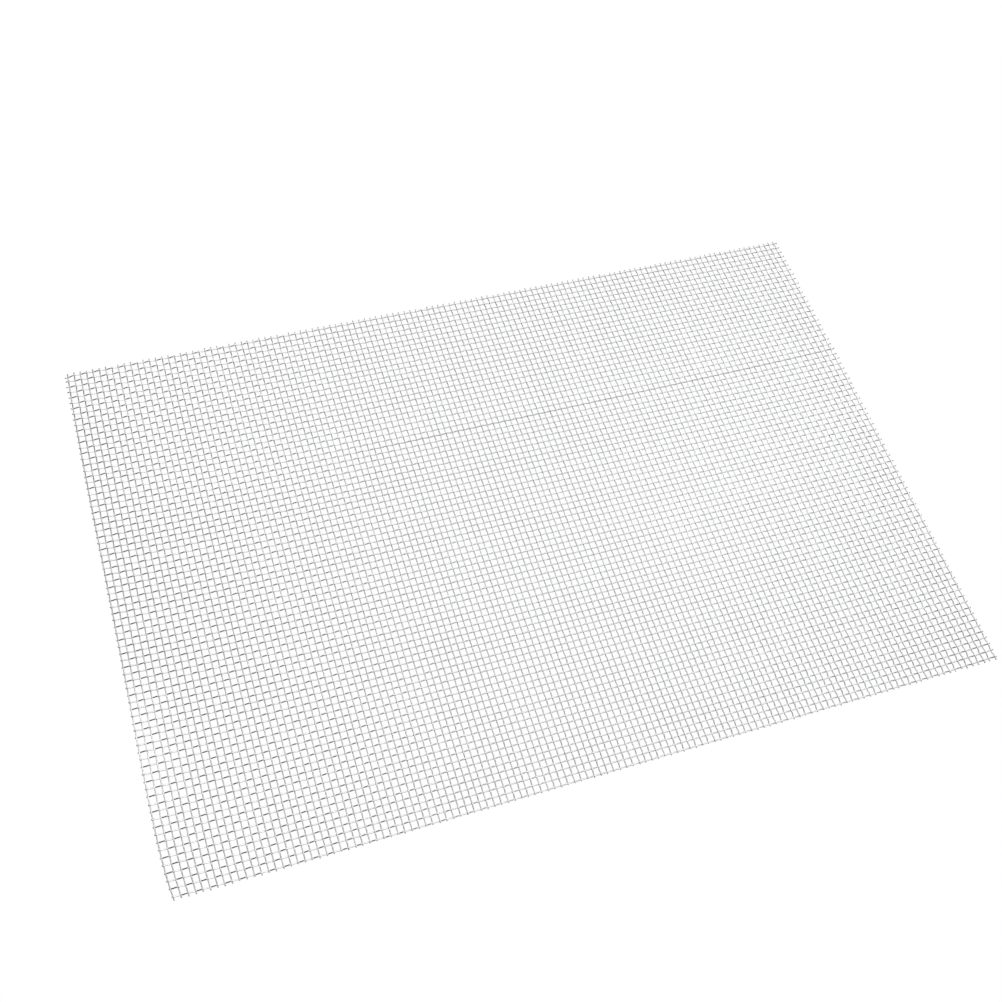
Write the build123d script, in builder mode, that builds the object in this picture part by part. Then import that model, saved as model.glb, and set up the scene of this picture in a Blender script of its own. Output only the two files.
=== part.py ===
# A raw-cut sheet of plain-weave steel wire gauze, lying flat. Millimetres, +Z up, +X along the length.
# Every wire is its own solid. The long warp wires lie on the surface, and the short weft wires cross
# them, so that the two layers together have the thickness of the woven cloth.
import os

from build123d import *

# Driving dimensions
sheet_length = 300.0
sheet_width = 200.0
wire_diameter = 0.45
weft_pitch = 2.34
warp_pitch = 2.51
least_free_end = 0.5
facet_count = 12

# Wires that fit across each side and leave a free end past the last crossing
warp_count = int((sheet_width - 2 * least_free_end) // warp_pitch) + 1
weft_count = int((sheet_length - 2 * least_free_end) // weft_pitch) + 1

# A flat of each wire faces down and another faces up, so that crossing wires seat face to face
wire_radius = wire_diameter / 2
flat_angle = 180 / facet_count
warp_height = wire_radius
weft_height = warp_height + wire_diameter

# Each set of wires is drawn as a row of sections at one cut edge and runs to the opposite edge
warp_start = Plane(origin=(-sheet_length / 2, 0, warp_height), x_dir=(0, 1, 0), z_dir=(1, 0, 0))
weft_start = Plane(origin=(0, sheet_width / 2, weft_height), x_dir=(1, 0, 0), z_dir=(0, -1, 0))

# Long wires, along X
with BuildPart() as warp_wires:
    with BuildSketch(warp_start):
        with GridLocations(warp_pitch, warp_pitch, warp_count, 1):
            RegularPolygon(wire_radius, facet_count, major_radius=False, rotation=flat_angle)
    extrude(amount=sheet_length)

# Short wires, along Y
with BuildPart() as weft_wires:
    with BuildSketch(weft_start):
        with GridLocations(weft_pitch, weft_pitch, weft_count, 1):
            RegularPolygon(wire_radius, facet_count, major_radius=False, rotation=flat_angle)
    extrude(amount=sheet_width)

warp_wires.part.label = "warp_wires"
weft_wires.part.label = "weft_wires"

os.makedirs("parts", exist_ok=True)
export_step(warp_wires.part, "parts/warp_wires.step")
export_step(weft_wires.part, "parts/weft_wires.step")

print("warp wires", warp_count, "weft wires", weft_count)
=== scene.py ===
import math
import bpy
import numpy as np
from mathutils import Matrix, Vector


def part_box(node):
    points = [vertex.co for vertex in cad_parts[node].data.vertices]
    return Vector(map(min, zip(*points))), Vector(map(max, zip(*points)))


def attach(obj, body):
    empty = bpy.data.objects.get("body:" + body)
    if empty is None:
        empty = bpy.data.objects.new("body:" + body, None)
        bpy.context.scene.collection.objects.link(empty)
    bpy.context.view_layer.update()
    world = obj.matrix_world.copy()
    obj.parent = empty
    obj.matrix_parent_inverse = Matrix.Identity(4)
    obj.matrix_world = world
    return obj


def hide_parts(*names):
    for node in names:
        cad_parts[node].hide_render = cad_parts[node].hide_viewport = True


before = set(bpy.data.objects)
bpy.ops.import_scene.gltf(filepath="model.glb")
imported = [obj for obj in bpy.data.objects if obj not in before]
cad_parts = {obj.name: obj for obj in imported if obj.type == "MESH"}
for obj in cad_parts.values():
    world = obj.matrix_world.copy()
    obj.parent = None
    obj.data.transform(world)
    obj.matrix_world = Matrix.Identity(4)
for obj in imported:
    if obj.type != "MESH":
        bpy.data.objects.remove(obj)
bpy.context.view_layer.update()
scene = bpy.context.scene
scene.view_settings.view_transform = "Standard"
mm = 0.001


class Signal:  # a shader socket that can stand in a Python sum
    def __init__(self, tree, socket=None):
        self.tree = tree
        self.socket = socket

    def node(self, kind, settings=None, inputs=None, output=0):
        made = self.tree.nodes.new(kind)
        for name, value in (settings or {}).items():
            setattr(made, name, value)
        for name, value in (inputs or {}).items():
            if isinstance(value, Signal):
                self.tree.links.new(value.socket, made.inputs[name])
            else:
                made.inputs[name].default_value = value
        return Signal(self.tree, made.outputs[output] if len(made.outputs) else None)

    def sum(self, operation, *terms):
        return self.node("ShaderNodeMath", {"operation": operation}, dict(enumerate(terms)))

    def __add__(self, other):
        return self.sum("ADD", self, other)

    def __radd__(self, other):
        return self.sum("ADD", other, self)

    def __sub__(self, other):
        return self.sum("SUBTRACT", self, other)

    def __rsub__(self, other):
        return self.sum("SUBTRACT", other, self)

    def __mul__(self, other):
        return self.sum("MULTIPLY", self, other)

    def __rmul__(self, other):
        return self.sum("MULTIPLY", other, self)


def clamped(value):
    return value.sum("MINIMUM", value.sum("MAXIMUM", value, 0.0), 1.0)


def mixColour(factor, first, second):  # 6 and 7 are a Mix node's colour inputs, 2 its colour output
    return factor.node("ShaderNodeMix", {"data_type": "RGBA"}, {0: factor, 6: first, 7: second}, 2)


def emptyTree(owner):
    owner.use_nodes = True
    owner.node_tree.nodes.clear()
    return Signal(owner.node_tree)


print("frame loaded, solids", sorted(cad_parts))

# how the two sets of wires lie, shifts in shares of a pitch, depths and reaches in wires
weave = {
    "warpCount": 80,  # long wires
    "weftCount": 128,  # short wires
    "seed": 41,
    "spacingScatter": 0.018,  # uneven spacing of whole wires
    "wanderShare": 0.02,  # slow sideways wander along a wire
    "wanderWavesLeast": 0.5,
    "wanderWavesMost": 2.5,
    "setLeft": 0.12,  # the weave sits off the middle of its cut edges
    "setNear": 0.1,
    "leftBowFar": 0.18,  # first short wires pulled in at the far left corner
    "leftBowFarReach": 8.0,
    "leftBowNear": 0.7,  # and at the near left corner
    "leftBowNearReach": 4.6,
    "leftBowDepth": 13.0,
    "rightStretch": 0.36,  # last short wires stand wider apart
    "rightStretchDepth": 11.0,
    "rightLean": 0.66,  # and lean in toward the far right corner
    "rightLeanDepth": 12.0,
    "endLift": 0.27,  # long wires curve away from the camera at both ends
    "endLiftPower": 6.0,
    "endLiftReach": 6.0,
    "middleSag": 0.1,  # and toward it in the middle
    "sagReach": 4.0,
    "nearInset": 0.035,  # nearest long wires sit in from the short wires' cut ends
    "insetReach": 5.0,
    "bentEndDip": 0.2,  # farthest long wire, bent at its left end
    "bentEndReach": 0.7,
}

warpLow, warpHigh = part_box("warp_wires")
weftLow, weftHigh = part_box("weft_wires")
wireDiameter = warpHigh[2] - warpLow[2]
wireRadius = wireDiameter / 2
clothMiddle = (warpLow[2] + weftHigh[2]) / 2
warpPitch = (warpHigh[1] - warpLow[1] - wireDiameter) / (weave["warpCount"] - 1)
weftPitch = (weftHigh[0] - weftLow[0] - wireDiameter) / (weave["weftCount"] - 1)
dice = np.random.default_rng(weave["seed"])


def wander(wires, steps):
    # one row for each wire: its own offset and a slow wave along it
    along = np.linspace(0, 1, steps)[None, :]
    offset = dice.normal(0, weave["spacingScatter"], (wires, 1))
    phase = dice.uniform(0, 2 * math.pi, (wires, 1))
    waves = dice.uniform(weave["wanderWavesLeast"], weave["wanderWavesMost"], (wires, 1))
    size = dice.normal(0, weave["wanderShare"], (wires, 1))
    return offset + size * np.sin(2 * math.pi * waves * along + phase)


def crossings():
    # where long wire j meets short wire i, as arrays [j, i]
    i = np.arange(weave["weftCount"])[None, :]
    j = np.arange(weave["warpCount"])[:, None]
    fromFar = weave["warpCount"] - 1 - j
    fromRight = weave["weftCount"] - 1 - i

    bow = weave["leftBowFar"] * np.exp(-fromFar / weave["leftBowFarReach"])
    bow = bow + weave["leftBowNear"] * np.exp(-j / weave["leftBowNearReach"])
    stretch = np.clip(1 - fromRight / weave["rightStretchDepth"], 0, 1)
    lean = (j / (weave["warpCount"] - 1)) ** 2 * np.exp(-fromRight / weave["rightLeanDepth"])
    moveX = bow * np.exp(-i / weave["leftBowDepth"]) - weave["setLeft"]
    moveX = moveX + weave["rightStretch"] * stretch - weave["rightLean"] * lean
    moveX = moveX + wander(weave["weftCount"], weave["warpCount"]).T

    outward = np.abs(2 * i / (weave["weftCount"] - 1) - 1)
    lift = outward ** weave["endLiftPower"] * (1 - np.exp(-fromFar / weave["endLiftReach"]))
    sag = (1 - outward ** 2) * (1 - np.exp(-j / weave["sagReach"]))
    dip = np.exp(-i / weave["bentEndReach"]) * (fromFar == 0)
    moveY = weave["endLift"] * lift - weave["middleSag"] * sag - weave["bentEndDip"] * dip
    moveY = moveY + weave["nearInset"] * np.exp(-j / weave["insetReach"]) - weave["setNear"]
    moveY = moveY + wander(weave["warpCount"], weave["weftCount"])

    x = weftLow[0] + wireRadius + weftPitch * (i + moveX)
    y = warpLow[1] + wireRadius + warpPitch * (j + moveY)
    return x, y


crossX, crossY = crossings()
print("crossings placed", crossX.size)
print("pitches mm", round(weftPitch / mm, 3), round(warpPitch / mm, 3))


def wireCourse(crossAlong, crossAcross, numbers, ends, settings):
    # rings of crimped wires, one wire for each row of crossings, as arrays [wire, ring]
    wires, knots = crossAlong.shape
    perPitch = settings["ringsPerPitch"]
    steps = np.arange((knots - 1) * perPitch + 1) / perPitch
    pitch = (crossAlong[:, -1] - crossAlong[:, 0]) / (knots - 1)
    shorter = 1 - settings["endScatter"] * dice.uniform(0, 1, (2, wires)) ** 2
    tailLow = ends[0] * shorter[0] / (crossAlong[:, 1] - crossAlong[:, 0])
    tailHigh = ends[1] * shorter[1] / (crossAlong[:, -1] - crossAlong[:, -2])
    knot = np.concatenate([
        -tailLow[:, None], -tailLow[:, None] / 2,
        np.repeat(steps[None, :], wires, 0),
        knots - 1 + tailHigh[:, None] / 2, knots - 1 + tailHigh[:, None],
    ], 1)
    base = np.clip(np.floor(knot), 0, knots - 2).astype(int)
    rest = knot - base
    rows = np.arange(wires)[:, None]
    along = crossAlong[rows, base] * (1 - rest) + crossAlong[rows, base + 1] * rest
    across = crossAcross[rows, base] * (1 - rest) + crossAcross[rows, base + 1] * rest

    # over one and under the next, a wave with shoulders
    up = np.where((numbers[:, None] + settings["phase"] + base) % 2 == 0, 1.0, -1.0)
    shoulder = settings["shoulder"]
    wave = (np.cos(math.pi * rest) - shoulder * np.cos(3 * math.pi * rest)) / (1 - shoulder)
    fall = (np.sin(math.pi * rest) - 3 * shoulder * np.sin(3 * math.pi * rest)) / (1 - shoulder)
    height = clothMiddle + up * wireRadius * wave
    slope = np.arctan(-up * wireRadius * math.pi / pitch[:, None] * fall)
    return along, across, height, slope


def wireTones(along, x, y, numbers, settings):
    # how bright each ring is: the wire's own shade, the one dulled wire, then patches of painted
    # shade and painted highlight
    tone = dice.normal(0, settings["toneScatter"], (len(numbers), 1))
    dulled = np.clip((along - settings["dullFrom"]) / settings["dullFade"], 0, 1)
    tone = tone - settings["dullStep"] * dulled * (numbers[:, None] == settings["dullWire"])
    # the patches paint shade and highlight into the steel's tone where light falls differently
    # across the sheet
    for patch in settings["paintedShadeAndHighlightPatches"]:
        farX = (x - patch["x"]) / patch["reachX"]
        farY = (y - patch["y"]) / patch["reachY"]
        tone = tone - patch["dullnessAndPaintedShade"] * np.exp(-(farX ** 2 + farY ** 2))
    return tone


def wireCorners(along, across, height, slope, runsAlongX, turn):
    # a ring of corners square to the wire at each step
    outward = wireRadius * np.cos(turn)
    sideways = wireRadius * np.sin(turn)
    ringAlong = along[:, :, None] - np.sin(slope)[:, :, None] * outward
    ringUp = height[:, :, None] + np.cos(slope)[:, :, None] * outward
    ringAcross = across[:, :, None] + sideways
    ringAlong[:, 0] = along[:, 0, None]  # square cut ends
    ringAlong[:, -1] = along[:, -1, None]
    order = [ringAlong, ringAcross, ringUp] if runsAlongX else [ringAcross, ringAlong, ringUp]
    return np.stack(order, -1).reshape(-1, 3)


def wireFaces(wires, rings, runsAlongX, turn, settings):
    # four-sided faces round and along each wire, then a cap at each end
    sides = settings["sides"]
    w, r, s = np.meshgrid(np.arange(wires), np.arange(rings - 1), np.arange(sides), indexing="ij")
    at = (w * rings + r) * sides
    after = (s + 1) % sides
    quads = np.stack([at + s, at + sides + s, at + sides + after, at + after], -1).reshape(-1, 4)
    first = np.arange(wires)[:, None] * rings * sides
    capLow = first + np.arange(sides)[None, :]
    capHigh = first + (rings - 1) * sides + np.arange(sides)[None, ::-1]
    caps = np.concatenate([capLow, capHigh])

    # each wire is a strip of the bake's picture, with its caps at the two ends of the strip
    w, r, s = (a.reshape(-1, 1) for a in (w, r, s))
    margin = settings["capMargin"]
    stretch = (1 - 2 * margin) / (rings - 1)
    strip = (1 - 2 * settings["stripMargin"]) / sides
    u = margin + stretch * (r + np.array([[0, 1, 1, 0]]))
    v = (w + settings["stripMargin"] + strip * (s + np.array([[0, 0, 1, 1]]))) / wires
    capU = margin / 2 + margin / 3 * np.cos(turn)[None, :] + np.zeros((wires, 1))
    capV = (np.arange(wires)[:, None] + 0.5 + strip * np.sin(turn)[None, :]) / wires
    if not runsAlongX:  # the other direction turns every face over
        quads, caps, u, v = (a[:, ::-1] for a in (quads, caps, u, v))
    places = np.stack([
        np.concatenate([u.ravel(), capU.ravel(), 1 - capU.ravel()]),
        np.concatenate([v.ravel(), capV.ravel(), capV.ravel()]),
    ], -1)
    return quads, caps, places


def wireBank(name, crossAlong, crossAcross, numbers, runsAlongX, ends, settings):
    along, across, height, slope = wireCourse(crossAlong, crossAcross, numbers, ends, settings)
    x, y = (along, across) if runsAlongX else (across, along)
    tone = wireTones(along, x, y, numbers, settings)
    wires, rings = along.shape
    sides = settings["sides"]
    turn = 2 * math.pi * np.arange(sides) / sides
    corners = wireCorners(along, across, height, slope, runsAlongX, turn)
    quads, caps, places = wireFaces(wires, rings, runsAlongX, turn, settings)
    loops = np.concatenate([quads.ravel(), caps.ravel()]).astype(np.int32)
    quadStarts = np.arange(len(quads)) * 4
    capStarts = quads.size + np.arange(len(caps)) * sides
    starts = np.concatenate([quadStarts, capStarts]).astype(np.int32)
    smooth = np.concatenate([np.ones(len(quads), bool), np.zeros(len(caps), bool)])

    mesh = bpy.data.meshes.new(name)
    mesh.vertices.add(len(corners))
    mesh.vertices.foreach_set("co", corners.ravel())
    mesh.loops.add(len(loops))
    mesh.loops.foreach_set("vertex_index", loops)
    mesh.polygons.add(len(starts))
    mesh.polygons.foreach_set("loop_start", starts)
    mesh.polygons.foreach_set("use_smooth", smooth)
    mesh.uv_layers.new(name="OFBake")
    mesh.uv_layers["OFBake"].uv.foreach_set("vector", places.ravel())
    # the ring tones, painted shade and painted highlight included, for the steel's colour
    shade = mesh.attributes.new("wireToneAndPaintedShade", "FLOAT", "POINT")
    shade.data.foreach_set("value", np.repeat(tone.ravel(), sides))
    mesh.update(calc_edges=True)
    mesh.validate()
    piece = bpy.data.objects.new(name, mesh)
    scene.collection.objects.link(piece)
    print("made", name, "wires", wires, "triangles", len(quads) * 2 + len(caps) * (sides - 2))
    return piece


warp = {
    "ringsPerPitch": 3,
    "sides": 6,
    "shoulder": 0.0,  # how far the bend gathers beside each crossing
    "phase": 0,  # long wires pass over where i + j is even
    "endScatter": 0.3,  # most that a cut end falls short, as a share of the free end
    "leftTailFar": 0.58,  # free ends past the first short wire, in pitches
    "leftTailNear": 0.24,
    "leftTailReach": 7.0,
    "rightTail": 0.68,  # most that a free end reaches past the last short wire
    "toneScatter": 0.03,
    "dullWire": 56,  # one wire, counted from the near side, tarnished over part of its length
    "dullStep": 0.27,
    "dullFrom": -0.06,
    "dullFade": 0.03,
    "paintedShadeAndHighlightPatches": [  # painted shade and painted highlight: soft darker or lighter stretches of the steel, in metres
        {"x": 0.15, "y": -0.1, "reachX": 0.035, "reachY": 0.025, "dullnessAndPaintedShade": 0.22},
        {"x": -0.14, "y": 0.085, "reachX": 0.06, "reachY": 0.05, "dullnessAndPaintedShade": -0.16},
        {"x": -0.145, "y": -0.085, "reachX": 0.035, "reachY": 0.045, "dullnessAndPaintedShade": -0.15},
        {"x": 0.0, "y": -0.1, "reachX": 0.3, "reachY": 0.002, "dullnessAndPaintedShade": -0.12},
    ],
    "capMargin": 0.006,  # shares of a wire's strip in the bake's picture
    "stripMargin": 0.1,
}
weft = dict(warp, shoulder=0.1, phase=1, endScatter=0.4, dullStep=0.0)
# painted shade and painted highlight on the short wires: soft darker or lighter stretches, in
# metres
weft["paintedShadeAndHighlightPatches"] = [
    {"x": 0.15, "y": -0.1, "reachX": 0.035, "reachY": 0.025, "dullnessAndPaintedShade": 0.06},
    {"x": -0.15, "y": 0.02, "reachX": 0.045, "reachY": 0.13, "dullnessAndPaintedShade": 0.14},
    {"x": -0.15, "y": -0.05, "reachX": 0.012, "reachY": 0.026, "dullnessAndPaintedShade": -0.4},
    {"x": -0.15, "y": 0.075, "reachX": 0.008, "reachY": 0.03, "dullnessAndPaintedShade": 0.12},
    {"x": 0.1, "y": 0.02, "reachX": 0.06, "reachY": 0.05, "dullnessAndPaintedShade": -0.15},
    {"x": 0.06, "y": -0.02, "reachX": 0.045, "reachY": 0.03, "dullnessAndPaintedShade": -0.12},
]

warpHalf = weave["warpCount"] // 2
weftHalf = weave["weftCount"] // 2
warpNumbers = np.arange(weave["warpCount"])
weftNumbers = np.arange(weave["weftCount"])
leftTail = warp["leftTailFar"] - warp["leftTailNear"]
leftTail = leftTail * np.exp(-warpNumbers[::-1] / warp["leftTailReach"]) + warp["leftTailNear"]
rightTail = np.minimum(warp["rightTail"] * weftPitch, warpHigh[0] - crossX[:, -1])
warpEnds = np.stack([leftTail * weftPitch, rightTail])
weftEnds = np.stack([crossY[0] - weftLow[1], weftHigh[1] - crossY[-1]])


def longWires(name, part):
    x, y, ends = crossX[part], crossY[part], warpEnds[:, part]
    return wireBank(name, x, y, warpNumbers[part], True, ends, warp)


def shortWires(name, part):
    x, y, ends = crossX.T[part], crossY.T[part], weftEnds[:, part]
    return wireBank(name, y, x, weftNumbers[part], False, ends, weft)


warpNear = longWires("warpWiresNear", slice(0, warpHalf))
warpFar = longWires("warpWiresFar", slice(warpHalf, None))
weftLeft = shortWires("weftWiresLeft", slice(0, weftHalf))
weftRight = shortWires("weftWiresRight", slice(weftHalf, None))

steel = {
    "bright": (0.55, 0.555, 0.56, 1.0),
    "dull": (0.295, 0.295, 0.3, 1.0),
    "plain": 0.5,  # dullness of plain wire, between bright and dull
    "mottle": 0.31,  # share of the noise in the dullness
    "noiseMean": 1.0,  # the two noises added together
    "toneAndShadeShare": 1.85,  # share of each wire's tone and painted shade
    "roughness": 0.2,
    "roughnessSwing": 0.13,
    "blotchScale": 60.0,  # tarnish, per metre
    "blotchDetail": 4.0,
    "streakScale": 9000.0,  # lines from the drawing die, per metre
    "streakDetail": 2.0,
    "streakStretch": 0.02,
    "streakBump": 0.15,
    "streakDepth": 0.00001,
}


def drawnSteel(name, grain):
    # bright drawn wire: fine lines along the wire, faint tarnish, each wire a shade of its own, and
    # patches of painted shade and painted highlight
    material = bpy.data.materials.new(name)
    start = emptyTree(material)
    place = start.node("ShaderNodeTexCoord", output="Object")
    lines = place.node("ShaderNodeVectorMath", {"operation": "MULTIPLY"}, {0: place, 1: grain})
    sockets = {"Vector": lines, "Scale": steel["streakScale"], "Detail": steel["streakDetail"]}
    streak = lines.node("ShaderNodeTexNoise", {}, sockets)
    sockets = {"Vector": place, "Scale": steel["blotchScale"], "Detail": steel["blotchDetail"]}
    blotch = place.node("ShaderNodeTexNoise", {}, sockets)
    toneAndPaintedShade = start.node("ShaderNodeAttribute", {"attribute_name": "wireToneAndPaintedShade"}, output="Fac")
    mottle = steel["mottle"] * (blotch + streak - steel["noiseMean"])
    # painted shade and painted highlight come in with each wire's tone
    dullnessAndPaintedShade = clamped(steel["plain"] + mottle - steel["toneAndShadeShare"] * toneAndPaintedShade)
    colour = mixColour(dullnessAndPaintedShade, steel["bright"], steel["dull"])
    rough = steel["roughness"] + steel["roughnessSwing"] * (dullnessAndPaintedShade - steel["plain"])
    sockets = {"Strength": steel["streakBump"], "Distance": steel["streakDepth"], "Height": streak}
    bump = start.node("ShaderNodeBump", {}, sockets)
    sockets = {"Base Color": colour, "Metallic": 1.0, "Roughness": rough, "Normal": bump}
    surface = start.node("ShaderNodeBsdfPrincipled", {}, sockets)
    start.node("ShaderNodeOutputMaterial", {}, {"Surface": surface})
    return material


warpSteel = drawnSteel("warpSteel", (steel["streakStretch"], 1.0, 1.0))
weftSteel = drawnSteel("weftSteel", (1.0, steel["streakStretch"], 1.0))
banks = [
    (warpNear, "warp_wires", warpSteel),
    (warpFar, "warp_wires", warpSteel),
    (weftLeft, "weft_wires", weftSteel),
    (weftRight, "weft_wires", weftSteel),
]
for piece, node, material in banks:
    piece.data.materials.append(material)
    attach(piece, "root")
    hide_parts(node)
print("wires dressed", len(banks))

ground = {
    "side": 8.0,
    "colour": (0.9, 0.9, 0.9, 1.0),
    "white": (1.0, 1.0, 1.0, 1.0),
    "whiteShare": 0.97,  # the rest of the floor's look is its lit colour, with the shadow
}


def makeFloor():
    half = ground["side"] / 2
    corners = [(-half, -half, 0), (half, -half, 0), (half, half, 0), (-half, half, 0)]
    mesh = bpy.data.meshes.new("floor")
    mesh.from_pydata(corners, [], [(0, 1, 2, 3)])
    floor = bpy.data.objects.new("floor", mesh)
    scene.collection.objects.link(floor)
    material = bpy.data.materials.new("palePaper")
    start = emptyTree(material)
    seen = start.node("ShaderNodeLightPath", output="Is Camera Ray")
    mirrored = start.node("ShaderNodeLightPath", output="Is Glossy Ray")
    through = start.node("ShaderNodeLightPath", output="Is Transmission Ray")
    factor = ground["whiteShare"] * clamped(seen + mirrored + through)
    lit = start.node("ShaderNodeBsdfDiffuse", {}, {"Color": ground["colour"]})
    glow = start.node("ShaderNodeEmission", {}, {"Color": ground["white"], "Strength": 1.0})
    surface = start.node("ShaderNodeMixShader", {}, {0: factor, 1: lit, 2: glow})
    start.node("ShaderNodeOutputMaterial", {}, {"Surface": surface})
    mesh.materials.append(material)
    print("floor laid")


makeFloor()

room = {
    "dim": 0.01,
    "pale": 1.0,  # white wall beyond the floor's edge
    "wallTop": 0.17,  # sines of the angles at which the wall starts to darken and ends
    "wallEnd": 0.24,
}


def makeRoom():
    world = bpy.data.worlds.new("room")
    scene.world = world
    start = emptyTree(world)
    place = start.node("ShaderNodeTexCoord", output="Generated")
    up = place.node("ShaderNodeSeparateXYZ", {}, {0: place}, "Z")
    wall = clamped((room["wallEnd"] - up) * (1 / (room["wallEnd"] - room["wallTop"])))
    level = room["dim"] + (room["pale"] - room["dim"]) * wall
    backdrop = start.node("ShaderNodeBackground", {}, {"Color": level, "Strength": 1.0})
    start.node("ShaderNodeOutputWorld", {}, {"Surface": backdrop})
    print("room set")


makeRoom()

# soft boxes, placed by compass turn from +Y toward +X and by height above the floor, in degrees
lamps = {
    "backBox": {"turn": 37.0, "height": 58.0, "reach": 1.0, "halfAngle": 37.0, "level": 2.1},
    "frontBox": {"turn": 129.0, "height": 66.0, "reach": 1.2, "halfAngle": 38.0, "level": 1.25},
}


def makeLamp(name, settings):
    turn, height = math.radians(settings["turn"]), math.radians(settings["height"])
    level = math.cos(height)
    aim = Vector((math.sin(turn) * level, math.cos(turn) * level, math.sin(height)))
    radius = settings["reach"] * math.tan(math.radians(settings["halfAngle"]))
    data = bpy.data.lights.new(name, "AREA")
    data.shape = "DISK"
    data.size = 2 * radius
    area = math.pi * radius ** 2
    data.energy = settings["level"] * 4 * area  # a lamp glows at its power over four areas
    lamp = bpy.data.objects.new(name, data)
    lamp.location = aim * settings["reach"]
    lamp.rotation_euler = aim.to_track_quat("Z", "Y").to_euler()
    scene.collection.objects.link(lamp)


for name, settings in lamps.items():
    makeLamp(name, settings)
print("lamps set", len(lamps))

view = {
    "turn": -29.72,
    "height": 60.51,
    "roll": 13.45,
    "reach": 0.4602,
    "target": (-0.00646, 0.00806, 0.0),
    "focal": 1241.0,  # pixels of the square picture
    "picture": 1002.0,
    "sensor": 36.0,
    "nearest": 0.01,  # the camera sees from here
    "farthest": 50.0,  # to here, in metres
}


def makeCamera():
    turn, height, roll = (math.radians(view[k]) for k in ("turn", "height", "roll"))
    level = math.cos(height)
    back = Vector((level * math.sin(turn), -level * math.cos(turn), math.sin(height)))
    right = Vector((math.cos(turn), math.sin(turn), 0))
    up = back.cross(right)
    pictureRight = math.cos(roll) * right + math.sin(roll) * up
    pictureUp = math.cos(roll) * up - math.sin(roll) * right
    data = bpy.data.cameras.new("camera")
    data.sensor_width = view["sensor"]
    data.lens = view["focal"] / view["picture"] * view["sensor"]
    data.clip_start = view["nearest"]
    data.clip_end = view["farthest"]
    camera = bpy.data.objects.new("camera", data)
    spot = Matrix.Translation(Vector(view["target"]) + back * view["reach"])
    facing = Matrix((pictureRight, pictureUp, back)).transposed().to_4x4()
    camera.matrix_world = spot @ facing
    scene.collection.objects.link(camera)
    scene.camera = camera
    print("camera set")


makeCamera()
